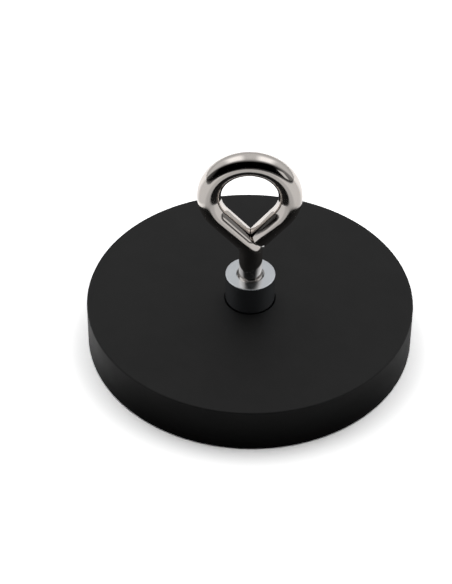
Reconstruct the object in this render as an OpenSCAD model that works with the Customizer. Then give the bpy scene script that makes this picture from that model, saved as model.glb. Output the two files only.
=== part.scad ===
// Rubber-coated disc magnet with a screw-in wire eye for a rope.
// The disc lies flat on Z = 0, its axis is Z, and the ring of the eye stands in the X-Z plane.

/* [Rubber coating] */
// Diameter of the coated disc at its underside
disc_d = 66; // [54:1:90]
// Diameter lost between underside and top, so that the disc leaves its mould
disc_draft = 0.1; // [0:0.1:1]
// Rubber wall between the steel plate and the rim
rim_wall = 3; // [2:0.5:6]
// Rubber skin under the magnets
skin_bottom = 1; // [0.8:0.1:2]
// Rubber skin over the steel plate
skin_top = 1.8; // [1.2:0.1:3]
// Radius of the rim's top edge
top_edge_r = 0.35; // [0.2:0.05:0.6]
// Radius of the rim's bottom edge
bottom_edge_r = 0.5; // [0.2:0.05:0.8]
// Width of the groove left in the rubber around the bush
groove_w = 0.2; // [0.1:0.05:0.8]
// Depth of that groove
groove_depth = 0.8; // [0.4:0.1:1]
// Diameter of the three mould pin marks in the underside
pin_mark_d = 2.4; // [1.5:0.1:3]
// Depth of the mould pin marks
pin_mark_depth = 0.5; // [0.2:0.1:0.6]

/* [Steel plate and magnets] */
// Thickness of the steel plate
plate_t = 2; // [1.5:0.1:3]
// Thickness of each disc magnet
magnet_t = 5; // [3:0.5:6]
// Gap between neighbouring magnets in the ring
magnet_gap = 2.2; // [1:0.1:3]
// Distance from the magnets to the edge of the plate
magnet_edge = 1; // [0.5:0.1:2]
// Gap left round each moulded-in piece
seat_gap = 0.02; // [0.01:0.01:0.05]

/* [Threaded bush] */
// Diameter of the bush
bush_d = 10; // [8:0.2:12]
// Height of the bush above the rubber
bush_rise = 6.4; // [5:0.1:10]
// Chamfer on the bush's top edge
bush_chamfer = 0.15; // [0.1:0.05:0.5]
// Wall of the spigot that goes down through the plate
spigot_wall = 1.5; // [1:0.1:1.6]
// Clearance between the spigot and its hole, per side
spigot_gap = 0.05; // [0.02:0.01:0.1]
// Overhang of the staked rim under the plate
stake_lip = 0.75; // [0.5:0.05:1.2]
// Thickness of the staked rim
stake_t = 0.8; // [0.5:0.1:1.2]
// Metal left under the drill point of the blind hole
bush_floor = 0.9; // [0.6:0.1:1.2]

/* [Thread] */
// Nominal thread diameter
thread_d = 5; // [4:0.5:6]
// Thread pitch
thread_pitch = 0.8; // [0.5:0.05:1]
// Clearance between the thread's crests and the hole, per side
thread_gap = 0.06; // [0.03:0.01:0.1]
// Free depth left below the end of the eye bolt
tip_gap = 0.6; // [0.3:0.1:1]
// Depth of the countersink at the mouth of the hole
mouth_chamfer = 0.35; // [0.2:0.05:0.5]
// Length of thread that shows above the bush
thread_standout = 0.3; // [0.1:0.05:0.6]

/* [Eye bolt] */
// Diameter of the wire
wire_d = 4.7; // [3.8:0.05:5.5]
// Inside diameter of the ring
eye_inner_d = 11.1; // [9:0.05:20]
// Length of straight shank above the bush, up to where the wire bends
shank_rise = 5.76; // [5:0.01:30]
// Distance that the ring's centre sits to the left of the shank
eye_shift = 0.4; // [0:0.1:1]
// Slope of the leg that runs from the shank into the ring
shank_leg_angle = 48; // [40:0.5:50]
// Slope of the free leg
free_leg_angle = 51; // [42:0.5:55]
// Radius of the neck's bend, on the inside of the wire
neck_inner_r = 2.65; // [0.2:0.05:4]
// Gap between the free end and the neck that it closes on
free_end_gap = 0.1; // [0.05:0.01:0.3]
// Distance of the free end's centre from the shank's axis
free_end_x = 1.2; // [0.8:0.1:2]
// Lean of the face that the free end closes with
free_end_lean = 29; // [5:1:40]

/* [Hidden] */
$fn = 96;

// Stack of layers, from the underside up
plate_z = skin_bottom + magnet_t;
plate_top = plate_z + plate_t;
disc_t = plate_top + skin_top;
bush_top = disc_t + bush_rise;

// Ring of magnets under the plate
plate_d = disc_d - 2 * rim_wall;
magnet_count = 10;
half_step = sin(180 / magnet_count);
magnet_reach = plate_d / 2 - magnet_edge;
magnet_d = (2 * half_step * magnet_reach - magnet_gap) / (1 + half_step);
magnet_ring_r = magnet_reach - magnet_d / 2;

// Bush and its blind hole
drill_point_angle = 118;
spigot_d = thread_d + 2 * spigot_wall;
stake_d = spigot_d + 2 * stake_lip;
stake_z = plate_z - stake_t;
drill_point_h = thread_d / 2 / tan(drill_point_angle / 2);
hole_z = stake_z + bush_floor + drill_point_h;

// Mould pin marks lie halfway between the stake and the magnets
pin_mark_count = 3;
pin_mark_ring_r = (stake_d / 2 + magnet_ring_r - magnet_d / 2) / 2;

// Thread of the eye bolt, drawn as rings of the true pitch and depth
thread_depth_ratio = 0.54;
tip_chamfer = 0.3;
crest_r = thread_d / 2 - thread_gap;
root_r = crest_r - thread_depth_ratio * thread_pitch;
tip_r = root_r - tip_chamfer;
tip_z = hole_z + tip_gap;
thread_end_z = bush_top + thread_standout;
ridge_count = floor((thread_end_z - tip_z) / thread_pitch);
first_ridge_z = thread_end_z - ridge_count * thread_pitch;

// Centreline of the wire, in the X-Z plane
wire_r = wire_d / 2;
ring_r = eye_inner_d / 2 + wire_r;
neck_r = neck_inner_r + wire_r;
neck_turn = 90 - shank_leg_angle;
neck_z = bush_top + shank_rise;
neck_corner_z = neck_z + neck_r * tan(neck_turn / 2);
ring_x = -eye_shift;
ring_z = neck_corner_z + (ring_r + eye_shift * sin(shank_leg_angle)) / cos(shank_leg_angle);
shank_leg_x = ring_x - ring_r * sin(shank_leg_angle);
shank_leg_z = ring_z - ring_r * cos(shank_leg_angle);
free_leg_x = ring_x + ring_r * sin(free_leg_angle);
free_leg_z = ring_z - ring_r * cos(free_leg_angle);
neck_end_x = -neck_r * (1 - cos(neck_turn));
shank_leg_len = (neck_end_x - shank_leg_x) / cos(shank_leg_angle);
free_leg_len = (free_leg_x - free_end_x) / cos(free_leg_angle);
ring_sweep = 360 - shank_leg_angle - free_leg_angle;

// Point where the inner sides of the two legs meet
legs_angle = shank_leg_angle + free_leg_angle;
crotch_x = ring_x + eye_inner_d / 2 * (cos(shank_leg_angle) - cos(free_leg_angle)) / sin(legs_angle);
crotch_z = ring_z - eye_inner_d / 2 * (sin(shank_leg_angle) + sin(free_leg_angle)) / sin(legs_angle);

// Straight stretches of wire run this far into the bends and are this much slimmer,
// so that every stretch ends well inside the next one
wire_lap = 0.3;
wire_step = 0.02;

// Amount by which a cutting shape passes the face that it cuts
over = 1;

module rim_profile() {
  bottom_r = disc_d / 2;
  top_r = bottom_r - disc_draft / 2;
  polygon([
    [0, 0],
    [bottom_r - bottom_edge_r, 0],
    [bottom_r, bottom_edge_r],
    [top_r, disc_t - top_edge_r],
    [top_r - top_edge_r, disc_t],
    [0, disc_t]
  ]);
  translate([bottom_r - bottom_edge_r, bottom_edge_r])
    circle(r = bottom_edge_r);
  translate([top_r - top_edge_r, disc_t - top_edge_r])
    circle(r = top_edge_r);
}

// Places its children at magnet number i of the ring
module at_magnet(i) {
  rotate([0, 0, (i - 0.5) * 360 / magnet_count])
    translate([magnet_ring_r, 0, skin_bottom])
      children();
}

module rubber_coating() {
  color("#262626")
    difference() {
      rotate_extrude()
        rim_profile();
      translate([0, 0, plate_z])
        cylinder(h = plate_t, d = plate_d + 2 * seat_gap);
      for (i = [1 : magnet_count])
        at_magnet(i)
          cylinder(h = magnet_t, d = magnet_d + 2 * seat_gap);
      translate([0, 0, stake_z])
        cylinder(h = stake_t, d = stake_d + 2 * seat_gap);
      translate([0, 0, plate_top])
        cylinder(h = skin_top + over, d = bush_d + 2 * seat_gap);
      translate([0, 0, disc_t - groove_depth])
        cylinder(h = groove_depth + over, d = bush_d + 2 * groove_w);
      for (i = [1 : pin_mark_count])
        rotate([0, 0, i * 360 / pin_mark_count])
          translate([pin_mark_ring_r, 0, -over])
            cylinder(h = pin_mark_depth + over, d = pin_mark_d);
    }
}

module steel_plate() {
  color("#8f9499")
    translate([0, 0, plate_z])
      difference() {
        cylinder(h = plate_t, d = plate_d);
        translate([0, 0, -over])
          cylinder(h = plate_t + 2 * over, d = spigot_d + 2 * spigot_gap);
      }
}

module magnet(i) {
  color("#b4b6b9")
    at_magnet(i)
      cylinder(h = magnet_t, d = magnet_d);
}

module threaded_bush() {
  color("#c6cbd0")
    difference() {
      union() {
        translate([0, 0, stake_z])
          cylinder(h = stake_t, d = stake_d);
        translate([0, 0, plate_z])
          cylinder(h = plate_t, d = spigot_d);
        translate([0, 0, plate_top])
          cylinder(h = bush_top - bush_chamfer - plate_top, d = bush_d);
        translate([0, 0, bush_top - bush_chamfer])
          cylinder(h = bush_chamfer, d1 = bush_d, d2 = bush_d - 2 * bush_chamfer);
      }
      translate([0, 0, hole_z])
        cylinder(h = bush_top - hole_z + over, d = thread_d);
      translate([0, 0, hole_z - drill_point_h])
        cylinder(h = drill_point_h, d1 = 0, d2 = thread_d);
      translate([0, 0, bush_top - mouth_chamfer])
        cylinder(h = 2 * mouth_chamfer, d1 = thread_d, d2 = thread_d + 4 * mouth_chamfer);
    }
}

// Outline of the rolled thread: a chamfered tip, then one ridge for each turn
module thread_profile() {
  root_flat = thread_pitch / 4;
  crest_flat = thread_pitch / 8;
  flank_start = root_flat / 2;
  crest_start = (thread_pitch - crest_flat) / 2;
  ridges = [
    for (i = [0 : ridge_count - 1])
      let (z = first_ridge_z + i * thread_pitch)
        each [
          [root_r, z + flank_start],
          [crest_r, z + crest_start],
          [crest_r, z + thread_pitch - crest_start],
          [root_r, z + thread_pitch - flank_start]
        ]
  ];
  polygon(concat(
    [[0, tip_z], [tip_r, tip_z], [root_r, tip_z + tip_chamfer]],
    ridges,
    [[root_r, thread_end_z + wire_lap], [0, thread_end_z + wire_lap]]
  ));
}

// Straight wire from a point in the X-Z plane, turned by lean degrees from +Z towards +X
module straight_wire(x, z, lean, len, r) {
  translate([x, 0, z])
    rotate([0, lean, 0])
      translate([0, 0, -wire_lap])
        cylinder(h = len + wire_lap, r = r - wire_step);
}

// Bent wire in the X-Z plane about a centre, from angle a (from +X) through sweep
module bent_wire(x, z, a, sweep, bend_r, r) {
  translate([x, 0, z])
    rotate([90, 0, 0])
      rotate([0, 0, a])
        rotate_extrude(angle = sweep)
          translate([bend_r, 0])
            circle(r = r);
}

// Shank, neck and leg that the ring grows from, fattened by extra
module neck_wire(extra) {
  translate([0, 0, thread_end_z])
    cylinder(h = neck_z + wire_lap - thread_end_z, r = wire_r - wire_step + extra);
  bent_wire(-neck_r, neck_z, 0, neck_turn, neck_r, wire_r + extra);
  straight_wire(shank_leg_x, shank_leg_z, 90 + shank_leg_angle, shank_leg_len + wire_lap, wire_r + extra);
}

// Free leg, cut square across and closed against the neck
module free_leg() {
  cut = ring_r + wire_d;
  difference() {
    straight_wire(free_leg_x, free_leg_z, -90 - free_leg_angle, free_leg_len, wire_r);
    neck_wire(free_end_gap);
    translate([crotch_x, 0, crotch_z])
      rotate([0, -free_end_lean, 0])
        translate([-cut, -cut / 2, -cut / 2])
          cube([cut, cut, cut]);
  }
}

module eye_bolt() {
  color("#d5cec7")
    union() {
      rotate_extrude()
        thread_profile();
      neck_wire(0);
      bent_wire(ring_x, ring_z, free_leg_angle - 90, ring_sweep, ring_r, wire_r);
      free_leg();
    }
}

rubber_coating();
steel_plate();
threaded_bush();
magnet(1);  // magnet_01
magnet(2);  // magnet_02
magnet(3);  // magnet_03
magnet(4);  // magnet_04
magnet(5);  // magnet_05
magnet(6);  // magnet_06
magnet(7);  // magnet_07
magnet(8);  // magnet_08
magnet(9);  // magnet_09
magnet(10);  // magnet_10
eye_bolt();
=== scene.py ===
import math

import bmesh
import bpy
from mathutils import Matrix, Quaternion, Vector


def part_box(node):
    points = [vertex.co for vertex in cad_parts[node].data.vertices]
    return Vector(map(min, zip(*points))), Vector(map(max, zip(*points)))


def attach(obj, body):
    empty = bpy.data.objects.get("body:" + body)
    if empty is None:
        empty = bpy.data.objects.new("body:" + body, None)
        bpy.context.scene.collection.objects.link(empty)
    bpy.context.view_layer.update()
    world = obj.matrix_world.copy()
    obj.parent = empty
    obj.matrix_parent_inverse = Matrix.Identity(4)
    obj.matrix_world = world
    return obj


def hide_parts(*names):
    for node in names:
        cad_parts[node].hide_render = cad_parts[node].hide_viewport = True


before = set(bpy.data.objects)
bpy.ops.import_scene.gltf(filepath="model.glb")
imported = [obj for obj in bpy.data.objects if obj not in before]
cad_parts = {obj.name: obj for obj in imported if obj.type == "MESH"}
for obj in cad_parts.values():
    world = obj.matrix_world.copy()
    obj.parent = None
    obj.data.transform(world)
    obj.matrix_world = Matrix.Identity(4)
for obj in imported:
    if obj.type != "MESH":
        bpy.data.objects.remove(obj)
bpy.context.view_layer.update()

# Lengths are in millimetres up to the stage, and MM turns them into Blender's metres.
MM = 0.001
AT = 0.001
DOUBLED = 0.0005

# Disc
_, disc_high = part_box("rubber_coating")
DISC_R = disc_high.x / MM
DISC_T = disc_high.z / MM
DRAFT = 0.05
TOP_EDGE_R = 0.35
BOTTOM_EDGE_R = 0.5
DISC_SIDES = 256
RIM_STEPS = 8
LIP_R = 0.06
LIP_STEPS = 4
GROOVE_R = 5.2
GROOVE_Z = DISC_T - 0.8
SEAT_R = 5.02
PLATE_POCKET_R = 30.02
PLATE_Z = 6.0
PLATE_TOP = 8.0
STAKE_POCKET_R = 4.77
STAKE_Z = 5.2
MAGNET_POCKET_R = 6.02
MAGNET_RING_R = 23.0
MAGNET_COUNT = 10
MAGNET_Z = 1.0
POCKET_SIDES = 64
POCKET_OVERCUT = 0.5
PIN_MARK_R = 1.2
PIN_MARK_DEPTH = 0.5
PIN_MARK_RING_R = 10.875
PIN_MARK_COUNT = 3

# Bush
_, bush_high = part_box("threaded_bush")
BUSH_R = bush_high.x / MM
BUSH_TOP = bush_high.z / MM
BUSH_EDGE_R = 0.15
BUSH_EDGE_STEPS = 6
BUSH_SIDES = 96
SPIGOT_R = 4.0
STAKE_R = 4.75
BORE_R = 2.5
BORE_GROOVE_R = 2.62
BORE_Z = 7.602
DRILL_POINT_H = 1.502
MOUTH_CHAMFER = 0.35
THREAD_MIDDLE = 12.4
TURN_STEPS = 24
FADE_TURNS = 0.5

# Eye bolt
bolt_low, bolt_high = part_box("eye_bolt")
WIRE_R = 2.35
WIRE_SIDES = 64
TIP_Z = bolt_low.z / MM
TIP_R = 1.708
TIP_CHAMFER = 0.3
CREST_R = 2.44
ROOT_R = 2.008
PITCH = 0.8
THREAD_END_Z = 16.4
RUN_OUT_TURNS = 1.1
NECK_BEND_R = 5.0
NECK_STEPS = 24
NECK_CUTTER_DROP = 6
SHANK_LEG_ANGLE = math.radians(48)
FREE_LEG_ANGLE = math.radians(51)
RING_X = -0.4
RING_R = 7.9
RING_STEPS = 160
RING_Z = bolt_high.z / MM - RING_R - WIRE_R
FREE_END_X = 1.2
FREE_END_GAP = 0.1
FREE_END_LEAN = math.radians(29)
FREE_END_EDGE = 0.25
FREE_END_STEPS = 3


def only(piece):
    """Selects one piece and nothing else."""
    bpy.ops.object.select_all(action="DESELECT")
    piece.select_set(True)
    bpy.context.view_layer.objects.active = piece


def open_piece(piece):
    """Opens a piece for editing, with nothing on it selected."""
    only(piece)
    bpy.ops.object.mode_set(mode="EDIT")
    bpy.ops.mesh.select_mode(type="VERT")
    bpy.ops.mesh.select_all(action="DESELECT")


def close_piece():
    bpy.ops.object.mode_set(mode="OBJECT")


def pick_points(piece, wanted):
    """Selects the points of the open piece whose place, in millimetres, is wanted."""
    mesh = bmesh.from_edit_mesh(piece.data)
    for v in mesh.verts:
        v.select = wanted(v.co / MM)
    mesh.select_flush_mode()
    bmesh.update_edit_mesh(piece.data)


def start_ring(name, sides, radius, z):
    """Draws a ring about the Z axis and opens it, with all of it selected."""
    bpy.ops.object.select_all(action="DESELECT")
    bpy.ops.mesh.primitive_circle_add(
        vertices=sides, radius=radius * MM, location=(0, 0, z * MM))
    piece = bpy.context.object
    piece.name = name
    piece.data.name = name
    bpy.ops.object.transform_apply(location=True, rotation=True, scale=True)
    bpy.ops.object.mode_set(mode="EDIT")
    bpy.ops.mesh.select_mode(type="VERT")
    bpy.ops.mesh.select_all(action="SELECT")
    return piece


def pull(x, y, z):
    """Draws out the selected ring by a distance."""
    way = (x * MM, y * MM, z * MM)
    bpy.ops.mesh.extrude_region_move(TRANSFORM_OT_translate={"value": way})


def widen(factor, z):
    """Makes the selected ring wider or narrower about the Z axis."""
    bpy.ops.transform.resize(value=(factor, factor, 1), center_override=(0, 0, z * MM))


def turn_outline(start, outline):
    """Draws the selected ring on through the radius and height of each point of an outline."""
    radius, height = start
    for r, z in outline:
        pull(0, 0, z - height)
        widen(r / radius, z)
        radius, height = r, z


def close_flat():
    """Closes the selected ring with one flat face."""
    bpy.ops.mesh.edge_face_add()


def close_point(height):
    """Closes the selected ring to a point on the axis, this much higher."""
    pull(0, 0, height)
    bpy.ops.mesh.merge(type="CENTER")


def face_outwards(piece):
    """Merges doubled points and turns every face outwards."""
    open_piece(piece)
    bpy.ops.mesh.select_all(action="SELECT")
    bpy.ops.mesh.remove_doubles(threshold=DOUBLED * MM)
    bpy.ops.mesh.normals_make_consistent(inside=False)
    close_piece()


def cut(piece, cutter):
    """Cuts a piece with another one, which is used up."""
    only(piece)
    boolean = piece.modifiers.new("cut", "BOOLEAN")
    boolean.operation = "DIFFERENCE"
    boolean.solver = "EXACT"
    boolean.object = cutter
    bpy.ops.object.modifier_apply(modifier=boolean.name)
    bpy.data.objects.remove(cutter)


def round_cutter(radius, x, y, low, high):
    """A round bar to cut a pocket with."""
    bpy.ops.object.select_all(action="DESELECT")
    bpy.ops.mesh.primitive_cylinder_add(
        vertices=POCKET_SIDES, radius=radius * MM, depth=(high - low) * MM,
        location=(x * MM, y * MM, (low + high) / 2 * MM))
    bpy.ops.object.transform_apply(location=True, rotation=True, scale=True)
    return bpy.context.object


def arc(cx, cz, r, first, last, steps):
    """Points on a rounded edge, from one angle to another, in degrees."""
    angles = [math.radians(first + (last - first) * i / steps) for i in range(steps + 1)]
    return [(cx + r * math.cos(a), cz + r * math.sin(a)) for a in angles]


def smooth(piece, degrees=30):
    only(piece)
    bpy.ops.object.shade_smooth_by_angle(angle=math.radians(degrees))


def around(count, offset=0.0):
    """Angles of so many equal steps around the axis."""
    return [2 * math.pi * (i + offset) / count for i in range(count)]


# ---- Moulded rubber -------------------------------------------------------

def mould_rubber():
    """The moulded disc, with its pockets for the plate, the magnets and the bush."""
    flat_r = DISC_R - BOTTOM_EDGE_R
    top_r = DISC_R - DRAFT
    start = (flat_r, 0)
    outline = arc(flat_r, BOTTOM_EDGE_R, BOTTOM_EDGE_R, -90, 0, RIM_STEPS)[1:]
    outline += arc(top_r - TOP_EDGE_R, DISC_T - TOP_EDGE_R, TOP_EDGE_R, 0, 90, RIM_STEPS)
    outline += arc(GROOVE_R + LIP_R, DISC_T - LIP_R, LIP_R, 90, 180, LIP_STEPS)
    outline += [
        (GROOVE_R, GROOVE_Z),
        (SEAT_R, GROOVE_Z),
        (SEAT_R, PLATE_TOP),
        (PLATE_POCKET_R, PLATE_TOP),
        (PLATE_POCKET_R, PLATE_Z),
        (STAKE_POCKET_R, PLATE_Z),
        (STAKE_POCKET_R, STAKE_Z),
    ]
    rubber = start_ring("moulded_rubber", DISC_SIDES, *start)
    turn_outline(start, outline)
    close_flat()
    pick_points(rubber, lambda p: abs(p.z) < AT and math.hypot(p.x, p.y) < flat_r + AT)
    close_flat()
    close_piece()
    face_outwards(rubber)
    for a in around(MAGNET_COUNT, 0.5):
        x, y = MAGNET_RING_R * math.cos(a), MAGNET_RING_R * math.sin(a)
        cut(rubber, round_cutter(MAGNET_POCKET_R, x, y, MAGNET_Z, PLATE_Z + POCKET_OVERCUT))
    for a in around(PIN_MARK_COUNT, 1):
        x, y = PIN_MARK_RING_R * math.cos(a), PIN_MARK_RING_R * math.sin(a)
        cut(rubber, round_cutter(PIN_MARK_R, x, y, -1, PIN_MARK_DEPTH))
    face_outwards(rubber)
    smooth(rubber)
    return rubber


# ---- Threads --------------------------------------------------------------

def shape_ridge(piece, sides, low_r, high_r):
    """Makes the ring in the middle of the thread into a slice through it: a quarter of the way
    round at the low radius, an eighth at the high one, and two flanks between them."""
    z = THREAD_MIDDLE
    low_end = sides // 4
    flank = sides * 5 // 16
    crest_end = low_end + flank + sides // 8
    for i in range(sides):
        if i <= low_end:
            continue
        if i < low_end + flank:
            share = (i - low_end) / flank
        elif i <= crest_end:
            share = 1
        else:
            share = (sides - i) / flank
        a = 2 * math.pi * i / sides
        x, y = low_r * math.cos(a), low_r * math.sin(a)
        pick_points(piece, lambda p: math.hypot(p.x - x, p.y - y) < 0.02 and abs(p.z - z) < AT)
        widen((low_r + share * (high_r - low_r)) / low_r, z)


def mean_radius(low_r, high_r):
    """The radius that a thread slice takes when it is made round: an eighth of the way at the
    full height, and five eighths at half of it."""
    return low_r + (1 / 8 + 5 / 8 / 2) * (high_r - low_r)


def wind(z, to_z, fade_turns, growth):
    """Draws the selected thread slice on to another height, turning it with the pitch of the
    thread. Over the last turns it goes round, and its radius changes by the factor growth."""
    steps = max(1, round(abs(to_z - z) / PITCH * TURN_STEPS))
    rise = (to_z - z) / steps
    turn = 2 * math.pi * rise / PITCH
    fade_steps = round(fade_turns * TURN_STEPS)
    for i in range(steps):
        pull(0, 0, rise)
        height = z + rise * (i + 1)
        centre = (0, 0, height * MM)
        bpy.ops.transform.rotate(value=-turn, orient_axis="Z", center_override=centre)
        left = steps - i
        if left <= fade_steps:
            bpy.ops.transform.tosphere(value=1 / left, center_override=centre)
            widen(growth ** (1 / fade_steps), height)


# ---- Turned bush ----------------------------------------------------------

def turn_bush():
    """The bush, drawn from the middle of its thread up and over its outside, then down."""
    mouth = BUSH_TOP - MOUTH_CHAMFER
    bore_mean = mean_radius(BORE_R, BORE_GROOVE_R)
    bush = start_ring("turned_bush", BUSH_SIDES, BORE_R, THREAD_MIDDLE)
    shape_ridge(bush, BUSH_SIDES, BORE_R, BORE_GROOVE_R)
    pick_points(bush, lambda p: True)
    wind(THREAD_MIDDLE, mouth, FADE_TURNS, 1)
    top_edge = arc(
        BUSH_R - BUSH_EDGE_R, BUSH_TOP - BUSH_EDGE_R, BUSH_EDGE_R, 0, 90, BUSH_EDGE_STEPS)
    turn_outline((bore_mean, mouth), [
        (BORE_R + MOUTH_CHAMFER, BUSH_TOP),
        *reversed(top_edge),
        (BUSH_R, PLATE_TOP),
        (SPIGOT_R, PLATE_TOP),
        (SPIGOT_R, PLATE_Z),
        (STAKE_R, PLATE_Z),
        (STAKE_R, STAKE_Z),
    ])
    close_flat()
    pick_points(
        bush, lambda p: abs(p.z - THREAD_MIDDLE) < AT and math.hypot(p.x, p.y) < SPIGOT_R)
    wind(THREAD_MIDDLE, BORE_Z, FADE_TURNS, BORE_R / bore_mean)
    close_point(-DRILL_POINT_H)
    close_piece()
    face_outwards(bush)
    smooth(bush)
    return bush


# ---- Bent eye bolt --------------------------------------------------------

# The wire lies in the X-Z plane. Its shank leg leans left from the neck up to the ring, and
# its free leg comes down from the ring's other end to the right of the neck.
leg_up = Vector((-math.cos(SHANK_LEG_ANGLE), 0, math.sin(SHANK_LEG_ANGLE)))
leg_down = Vector((-math.cos(FREE_LEG_ANGLE), 0, -math.sin(FREE_LEG_ANGLE)))
ring_start_x = RING_X - RING_R * math.sin(SHANK_LEG_ANGLE)
ring_end = Vector((
    RING_X + RING_R * math.sin(FREE_LEG_ANGLE), 0, RING_Z - RING_R * math.cos(FREE_LEG_ANGLE)))
neck_turn = math.pi / 2 - SHANK_LEG_ANGLE
neck_corner_drop = (RING_R - RING_X * math.sin(SHANK_LEG_ANGLE)) / math.cos(SHANK_LEG_ANGLE)
neck_z = RING_Z - neck_corner_drop - NECK_BEND_R * math.tan(neck_turn / 2)
neck_end_x = -NECK_BEND_R * (1 - math.cos(neck_turn))
shank_leg_len = (neck_end_x - ring_start_x) / math.cos(SHANK_LEG_ANGLE)
free_leg_len = (ring_end.x - FREE_END_X) / math.cos(FREE_LEG_ANGLE)
eye_r = RING_R - WIRE_R
legs_angle = SHANK_LEG_ANGLE + FREE_LEG_ANGLE
crotch_reach = eye_r / math.sin(legs_angle)
crotch = Vector((
    RING_X + crotch_reach * (math.cos(SHANK_LEG_ANGLE) - math.cos(FREE_LEG_ANGLE)),
    0,
    RING_Z - crotch_reach * (math.sin(SHANK_LEG_ANGLE) + math.sin(FREE_LEG_ANGLE))))


def bend(x, z, angle, side, steps):
    """Bends the selected end of the wire about a point in the X-Z plane."""
    bpy.ops.mesh.spin(
        steps=steps, angle=angle, center=(x * MM, 0, z * MM), axis=(0, side, 0))


def bend_neck():
    """Bends the neck to the left and draws out the leg that the ring grows from."""
    bend(-NECK_BEND_R, neck_z, neck_turn, 1, NECK_STEPS)
    pull(*(leg_up * shank_leg_len))


def trim_free_leg(leg):
    """Draws the free leg down to the neck, cuts it to lie against the neck and rounds its end."""
    open_piece(leg)
    bpy.ops.mesh.select_all(action="SELECT")
    pull(*(leg_down * free_leg_len))
    close_flat()
    pick_points(leg, lambda p: (p - ring_end).dot(leg_down) < 0.01)
    close_flat()
    bpy.ops.mesh.select_all(action="SELECT")
    bpy.ops.mesh.normals_make_consistent(inside=False)
    end_middle = ring_end + leg_down * free_leg_len
    facing = Vector((math.cos(FREE_END_LEAN), 0, math.sin(FREE_END_LEAN)))
    bpy.ops.mesh.bisect(plane_co=crotch * MM, plane_no=facing, use_fill=True, clear_inner=True)

    def on_rim(p):
        on_lean = abs((p - crotch).dot(facing)) < AT
        return on_lean or (p - end_middle).dot(leg_down) > -AT

    pick_points(leg, on_rim)
    bpy.ops.mesh.bevel(offset=FREE_END_EDGE * MM, segments=FREE_END_STEPS, affect="EDGES")
    close_piece()
    cutter_z = neck_z - NECK_CUTTER_DROP
    neck = start_ring("neck_cutter", WIRE_SIDES, WIRE_R + FREE_END_GAP, cutter_z)
    pull(0, 0, NECK_CUTTER_DROP)
    bend_neck()
    close_flat()
    pick_points(neck, lambda p: abs(p.z - cutter_z) < AT)
    close_flat()
    close_piece()
    face_outwards(neck)
    cut(leg, neck)


def bend_eye_bolt():
    """The eye bolt, drawn from the middle of its thread up round the eye, then down to its tip."""
    thread_mean = mean_radius(ROOT_R, CREST_R)
    bolt = start_ring("bent_eye_bolt", WIRE_SIDES, ROOT_R, THREAD_MIDDLE)
    shape_ridge(bolt, WIRE_SIDES, ROOT_R, CREST_R)
    pick_points(bolt, lambda p: True)
    wind(THREAD_MIDDLE, THREAD_END_Z, RUN_OUT_TURNS, WIRE_R / thread_mean)
    pull(0, 0, neck_z - THREAD_END_Z)
    bend_neck()
    bend(RING_X, RING_Z, 2 * math.pi - SHANK_LEG_ANGLE - FREE_LEG_ANGLE, -1, RING_STEPS)
    bpy.ops.mesh.duplicate()
    bpy.ops.mesh.separate(type="SELECTED")
    pick_points(bolt, lambda p: abs(p.z - THREAD_MIDDLE) < AT)
    wind(THREAD_MIDDLE, TIP_Z + TIP_CHAMFER, FADE_TURNS, ROOT_R / thread_mean)
    turn_outline((ROOT_R, TIP_Z + TIP_CHAMFER), [(TIP_R, TIP_Z)])
    close_flat()
    close_piece()
    leg = next(o for o in bpy.context.selected_objects if o != bolt)
    trim_free_leg(leg)
    open_piece(leg)
    bpy.ops.mesh.select_mode(type="FACE")
    mesh = bmesh.from_edit_mesh(leg.data)
    for f in mesh.faces:
        f.select = (f.calc_center_median() / MM - ring_end).length < 0.05
    bmesh.update_edit_mesh(leg.data)
    bpy.ops.mesh.delete(type="ONLY_FACE")
    close_piece()
    only(bolt)
    leg.select_set(True)
    bpy.ops.object.join()
    face_outwards(bolt)
    smooth(bolt)
    return bolt


# ---- Finishes -------------------------------------------------------------

def adder(tree):
    """Gives a function that adds a node, sets it up and links what feeds it. A socket is named
    with _ for each space, or by its number after a _."""
    def add(kind, settings=None, **inputs):
        made = tree.nodes.new(kind)
        for key, value in (settings or {}).items():
            setattr(made, key, value)
        for key, value in inputs.items():
            name = int(key[1:]) if key[0] == "_" else key.replace("_", " ")
            if isinstance(value, bpy.types.NodeSocket):
                tree.links.new(value, made.inputs[name])
            else:
                made.inputs[name].default_value = value
        return made
    return add


def maths(add, operation, a, b=0.0):
    return add("ShaderNodeMath", {"operation": operation}, _0=a, _1=b).outputs[0]


def ramp(add, value, low, high, low_out=0.0, high_out=1.0, kind="SMOOTHSTEP"):
    """Takes a value's range to another one, gently at both ends unless kind is LINEAR."""
    return add(
        "ShaderNodeMapRange", {"interpolation_type": kind},
        Value=value, _1=low, _2=high, _3=low_out, _4=high_out).outputs[0]


def drift(add, share, dark, light):
    """A colour that drifts between two shades."""
    return add("ShaderNodeMix", {"data_type": "RGBA"}, _0=share, _6=dark, _7=light).outputs[2]


def new_finish(name):
    """A material with its shader, and the function that adds nodes to it."""
    material = bpy.data.materials.new(name)
    material.use_nodes = True
    tree = material.node_tree
    return material, tree.nodes["Principled BSDF"], adder(tree)


def feed(material, shader, colour, roughness, bump):
    """Links a finish's colour, roughness and bump to its shader."""
    links = material.node_tree.links
    links.new(colour, shader.inputs["Base Color"])
    links.new(roughness, shader.inputs["Roughness"])
    links.new(bump.outputs[0], shader.inputs["Normal"])


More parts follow.
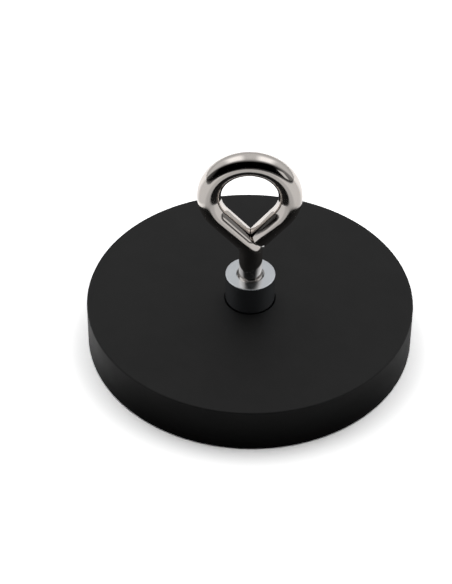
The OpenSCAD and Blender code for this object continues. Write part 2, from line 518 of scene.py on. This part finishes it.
def rubber_finish():
    material, shader, add = new_finish("matte_black_rubber")
    place = add("ShaderNodeTexCoord").outputs["Object"]
    cloud = add("ShaderNodeTexNoise", Vector=place, Scale=160.0, Detail=4.0, Roughness=0.55)
    grain = add("ShaderNodeTexNoise", Vector=place, Scale=3800.0, Detail=3.0, Roughness=0.6)
    colour = drift(
        add, cloud.outputs["Fac"], (0.0028, 0.0028, 0.0029, 1), (0.0042, 0.0042, 0.0044, 1))
    rough = ramp(add, cloud.outputs["Fac"], 0.0, 1.0, 0.52, 0.66, "LINEAR")
    bump = add("ShaderNodeBump", Strength=0.25, Distance=0.00004, Height=grain.outputs["Fac"])
    feed(material, shader, colour, rough, bump)
    shader.inputs["Specular IOR Level"].default_value = 0.33
    return material


def nickel_finish(name):
    material, shader, add = new_finish(name)
    place = add("ShaderNodeTexCoord").outputs["Object"]
    cloud = add("ShaderNodeTexNoise", Vector=place, Scale=260.0, Detail=3.0, Roughness=0.5)
    wave = add("ShaderNodeTexNoise", Vector=place, Scale=420.0, Detail=2.0, Roughness=0.4)
    colour = drift(add, cloud.outputs["Fac"], (0.66, 0.615, 0.58, 1), (0.71, 0.67, 0.635, 1))
    rough = ramp(add, cloud.outputs["Fac"], 0.0, 1.0, 0.05, 0.12, "LINEAR")
    bump = add("ShaderNodeBump", Strength=0.12, Distance=0.00003, Height=wave.outputs["Fac"])
    feed(material, shader, colour, rough, bump)
    shader.inputs["Metallic"].default_value = 1.0
    return material


def turned_finish(name, dark, light, rough_low, rough_high, face_rough, face_z, pitch, strength):
    """Metal with the fine rings that a turning tool leaves round the Z axis, pitch apart. Its
    end face, at face_z, is rougher than its side by face_rough."""
    material, shader, add = new_finish(name)
    place = add("ShaderNodeTexCoord").outputs["Object"]
    parts = add("ShaderNodeSeparateXYZ", Vector=place)
    flat = add("ShaderNodeCombineXYZ", X=parts.outputs["X"], Y=parts.outputs["Y"])
    radius = add("ShaderNodeVectorMath", {"operation": "LENGTH"}, _0=flat.outputs[0])
    along = maths(add, "SUBTRACT", radius.outputs["Value"], parts.outputs["Z"])
    turns = maths(add, "MULTIPLY", along, 1 / (pitch * MM))
    rings = add("ShaderNodeTexNoise", {"noise_dimensions": "1D"}, W=turns, Scale=1.0, Detail=3.0)
    cloud = add("ShaderNodeTexNoise", Vector=place, Scale=300.0, Detail=3.0)
    colour = drift(add, cloud.outputs["Fac"], dark, light)
    side = ramp(add, rings.outputs["Fac"], 0.0, 1.0, rough_low, rough_high, "LINEAR")
    face_low, face_high = (face_z - 0.12) * MM, (face_z - 0.02) * MM
    face = ramp(add, parts.outputs["Z"], face_low, face_high, 0.0, face_rough, "LINEAR")
    rough = maths(add, "ADD", side, face)
    bump = add("ShaderNodeBump", Strength=strength, Distance=0.00002, Height=rings.outputs["Fac"])
    feed(material, shader, colour, rough, bump)
    shader.inputs["Metallic"].default_value = 1.0
    return material


def give(piece, material):
    """Makes this the piece's only material."""
    piece.data.materials.clear()
    piece.data.materials.append(material)


# ---- Pieces ---------------------------------------------------------------

rubber = mould_rubber()
give(rubber, rubber_finish())
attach(rubber, "magnet_base")
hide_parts("rubber_coating")

bush = turn_bush()
zinc_plate = turned_finish(
    "zinc_plate", dark=(0.64, 0.667, 0.70, 1), light=(0.72, 0.748, 0.78, 1),
    rough_low=0.06, rough_high=0.14, face_rough=0.14, face_z=BUSH_TOP, pitch=0.12, strength=0.20)
give(bush, zinc_plate)
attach(bush, "magnet_base")
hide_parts("threaded_bush")

bolt = bend_eye_bolt()
give(bolt, nickel_finish("bright_nickel"))
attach(bolt, "eye_bolt")
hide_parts("eye_bolt")

plate_steel = turned_finish(
    "bare_steel", dark=(0.42, 0.43, 0.45, 1), light=(0.54, 0.55, 0.57, 1),
    rough_low=0.30, rough_high=0.45, face_rough=0.0, face_z=PLATE_TOP, pitch=0.30, strength=0.15)
magnet_nickel = nickel_finish("magnet_plating")
for name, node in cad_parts.items():
    if name == "steel_plate":
        give(node, plate_steel)
    elif name.startswith("magnet_"):
        give(node, magnet_nickel)


# ---- Stage: floor, light and camera ---------------------------------------

# Lengths of the stage are in metres.
FLOOR_SIZE = 6
FLOOR_Z = -0.00003
FLOOR_SEEN = 2.6
FLOOR_BOUNCED = 0.3

# What the floor looks like in the metal's reflections: painted shade close in front of the disc,
# far in front and at the front left, and painted light behind, beside and to the left of it.
# Each band runs from one place to another, and its brightness from one level to another.
# Painted shade on the floor, close to the front of the disc.
CLOSE_SHADE_BAND = (0.038, 0.048, 0.0, 1.0)
FRONT_SHADE_BAND = (-0.030, -0.005, 0.1, 1.0)
# Painted light on the floor, behind, beside and to the left of the disc.
BACK_LIGHT_BAND = (0.0, 0.045, 1.0, 1.6)
SIDES_LIGHT_BAND = (0.020, 0.045, 1.0, 1.3)
LEFT_LIGHT_BAND = (-0.040, -0.028, 1.0, 0.0)
LEFT_LIGHT_REACH_BAND = (0.042, 0.052, 1.0, 0.0)
# Painted shade on the floor, far in front and at the front left.
FRONT_END_SHADE_BAND = (-0.24, -0.14, 0.06, 1.0)
LEFT_FRONT_SHADE_Y_BAND = (-0.125, -0.10, 0.0, 1.0)
LEFT_FRONT_SHADE_X_BAND = (-0.12, -0.07, 0.15, 1.0)

# The dome. A tilt is in degrees up from the front, and goes over the top to the back. A patch
# of light grows between its first two values and fades between its last two.
ROOM_LEVEL = 0.68
OVERHEAD_LEVEL = 0.15
OVERHEAD_TILT = (78, 100, 135, 165)
LAMP_LEVEL = 0.85
TOP_LAMPS_TILT = (64, 84, 116, 146)
TOP_LAMPS_ASIDE = (0.12, 0.34, 0.56, 0.76)
SIDE_LAMP_TILT = (-4, 3, 30, 40)
SIDE_LAMP_X = (0.66, 0.71, 0.80, 0.87)
DARK_FRONT_TILT = (-8, -3, 55, 86)
DARK_FRONT_LEFT = (-1.0, -0.8, 0.85, 1.0)
DARK_FRONT_RIGHT = (0.62, 1.0, 1.0, 0.6)

CAMERA_DISTANCE = 0.4
CAMERA_ELEVATION = math.radians(43.25)
CAMERA_YAW = math.radians(0.709)
CAMERA_PITCH = math.radians(1.174)
CAMERA_ROLL = math.radians(-1.083)
LENS = 119.85
SENSOR = 36
CLIP_START = 0.01
CLIP_END = 50


def lay_floor():
    """A floor that is pale to the eye and dimmer as a source of light. In the metal's
    reflections it carries painted shade in front, and painted light behind and beside the disc."""
    bpy.ops.object.select_all(action="DESELECT")
    bpy.ops.mesh.primitive_plane_add(size=FLOOR_SIZE, location=(0, 0, FLOOR_Z))
    bpy.ops.object.transform_apply(location=True, rotation=True, scale=True)
    floor = bpy.context.object
    floor.name = "floor"
    material = bpy.data.materials.new("pale_floor")
    material.use_nodes = True
    tree = material.node_tree
    tree.nodes.clear()
    add = adder(tree)

    def grey(level):
        return add("ShaderNodeBsdfDiffuse", Color=(level, level, level, 1)).outputs[0]

    ray = add("ShaderNodeLightPath")
    place = add("ShaderNodeTexCoord").outputs["Object"]
    x, y, _ = add("ShaderNodeSeparateXYZ", Vector=place).outputs
    away = add("ShaderNodeVectorMath", {"operation": "LENGTH"}, _0=place).outputs["Value"]
    # Painted shade: the floor is darker close to the front of the disc.
    shade = maths(add, "MAXIMUM", ramp(add, away, *CLOSE_SHADE_BAND), ramp(add, y, *FRONT_SHADE_BAND))
    # Painted light: brighter behind and beside the disc, and in a patch to its left.
    back = ramp(add, y, *BACK_LIGHT_BAND)
    sides = ramp(add, maths(add, "ABSOLUTE", x), *SIDES_LIGHT_BAND)
    left = maths(add, "MULTIPLY", ramp(add, x, *LEFT_LIGHT_BAND), ramp(add, away, *LEFT_LIGHT_REACH_BAND))
    # Painted shade: darker far in front and at the front left.
    front_end_shade = ramp(add, y, *FRONT_END_SHADE_BAND)
    left_front_shade = maths(
        add, "MAXIMUM", ramp(add, y, *LEFT_FRONT_SHADE_Y_BAND), ramp(add, x, *LEFT_FRONT_SHADE_X_BAND))
    level = maths(add, "ADD", left, 1.0)
    for part in (shade, back, sides, front_end_shade, left_front_shade):
        level = maths(add, "MULTIPLY", level, part)
    # The floor as the metal mirrors it carries this painted light and shade.
    painted_light_and_shade_colour = add("ShaderNodeCombineColor", _0=level, _1=level, _2=level).outputs[0]
    mirrored_painted_light_and_shade = add("ShaderNodeBsdfDiffuse", Color=painted_light_and_shade_colour).outputs[0]
    unseen = add(
        "ShaderNodeMixShader", _0=ray.outputs["Is Glossy Ray"], _1=grey(FLOOR_BOUNCED),
        _2=mirrored_painted_light_and_shade).outputs[0]
    look = add(
        "ShaderNodeMixShader", _0=ray.outputs["Is Camera Ray"], _1=unseen,
        _2=grey(FLOOR_SEEN)).outputs[0]
    add("ShaderNodeOutputMaterial", Surface=look)
    give(floor, material)


def light_room():
    """A soft dome: a pale room behind and beside the object, two soft lamps overhead, a narrow
    one at the front right, and a dark front that gives the bright metal its black reflections.
    The camera sees plain white instead."""
    world = bpy.data.worlds.new("soft_room")
    bpy.context.scene.world = world
    world.use_nodes = True
    tree = world.node_tree
    tree.nodes.clear()
    add = adder(tree)

    def between(value, a, b, c, d):
        return maths(add, "MULTIPLY", ramp(add, value, a, b), ramp(add, value, c, d, 1.0, 0.0))

    def patch(tilt_band, side, side_band, level):
        shape = maths(add, "MULTIPLY", between(tilt, *tilt_band), between(side, *side_band))
        return maths(add, "MULTIPLY", shape, level)

    way = add("ShaderNodeTexCoord").outputs["Generated"]
    x, y, z = add("ShaderNodeSeparateXYZ", Vector=way).outputs
    tilt_radians = maths(add, "ARCTAN2", z, maths(add, "MULTIPLY", y, -1.0))
    tilt = maths(add, "MULTIPLY", tilt_radians, 180 / math.pi)
    overhead = maths(add, "MULTIPLY", between(tilt, *OVERHEAD_TILT), OVERHEAD_LEVEL)
    top_lamps = patch(TOP_LAMPS_TILT, maths(add, "ABSOLUTE", x), TOP_LAMPS_ASIDE, LAMP_LEVEL)
    room = maths(add, "ADD", maths(add, "ADD", overhead, top_lamps), ROOM_LEVEL)
    dark_sides = maths(
        add, "MULTIPLY", ramp(add, x, *DARK_FRONT_LEFT), ramp(add, x, *DARK_FRONT_RIGHT))
    dark = maths(add, "MULTIPLY", between(tilt, *DARK_FRONT_TILT), dark_sides)
    level = maths(add, "MULTIPLY", room, maths(add, "SUBTRACT", 1.0, dark))
    level = maths(add, "ADD", level, patch(SIDE_LAMP_TILT, x, SIDE_LAMP_X, LAMP_LEVEL))
    ray = add("ShaderNodeLightPath")
    dome = add("ShaderNodeBackground", Strength=level).outputs[0]
    white = add("ShaderNodeBackground", Color=(1, 1, 1, 1), Strength=1.0).outputs[0]
    sky = add("ShaderNodeMixShader", _0=ray.outputs["Is Camera Ray"], _1=dome, _2=white)
    add("ShaderNodeOutputWorld", Surface=sky.outputs[0])


def set_camera():
    back = Vector((0, -math.cos(CAMERA_ELEVATION), math.sin(CAMERA_ELEVATION)))
    lens = bpy.data.cameras.new("camera")
    lens.lens = LENS
    lens.sensor_width = SENSOR
    lens.clip_start = CLIP_START
    lens.clip_end = CLIP_END
    camera = bpy.data.objects.new("camera", lens)
    bpy.context.scene.collection.objects.link(camera)
    camera.location = back * CAMERA_DISTANCE
    camera.rotation_mode = "QUATERNION"
    aim = (-back).to_track_quat("-Z", "Y")
    yaw = Quaternion((0, 1, 0), CAMERA_YAW)
    pitch = Quaternion((1, 0, 0), CAMERA_PITCH)
    roll = Quaternion((0, 0, -1), CAMERA_ROLL)
    camera.rotation_quaternion = aim @ yaw @ pitch @ roll
    bpy.context.scene.camera = camera


lay_floor()
light_room()
set_camera()
bpy.context.scene.view_settings.view_transform = "Standard"
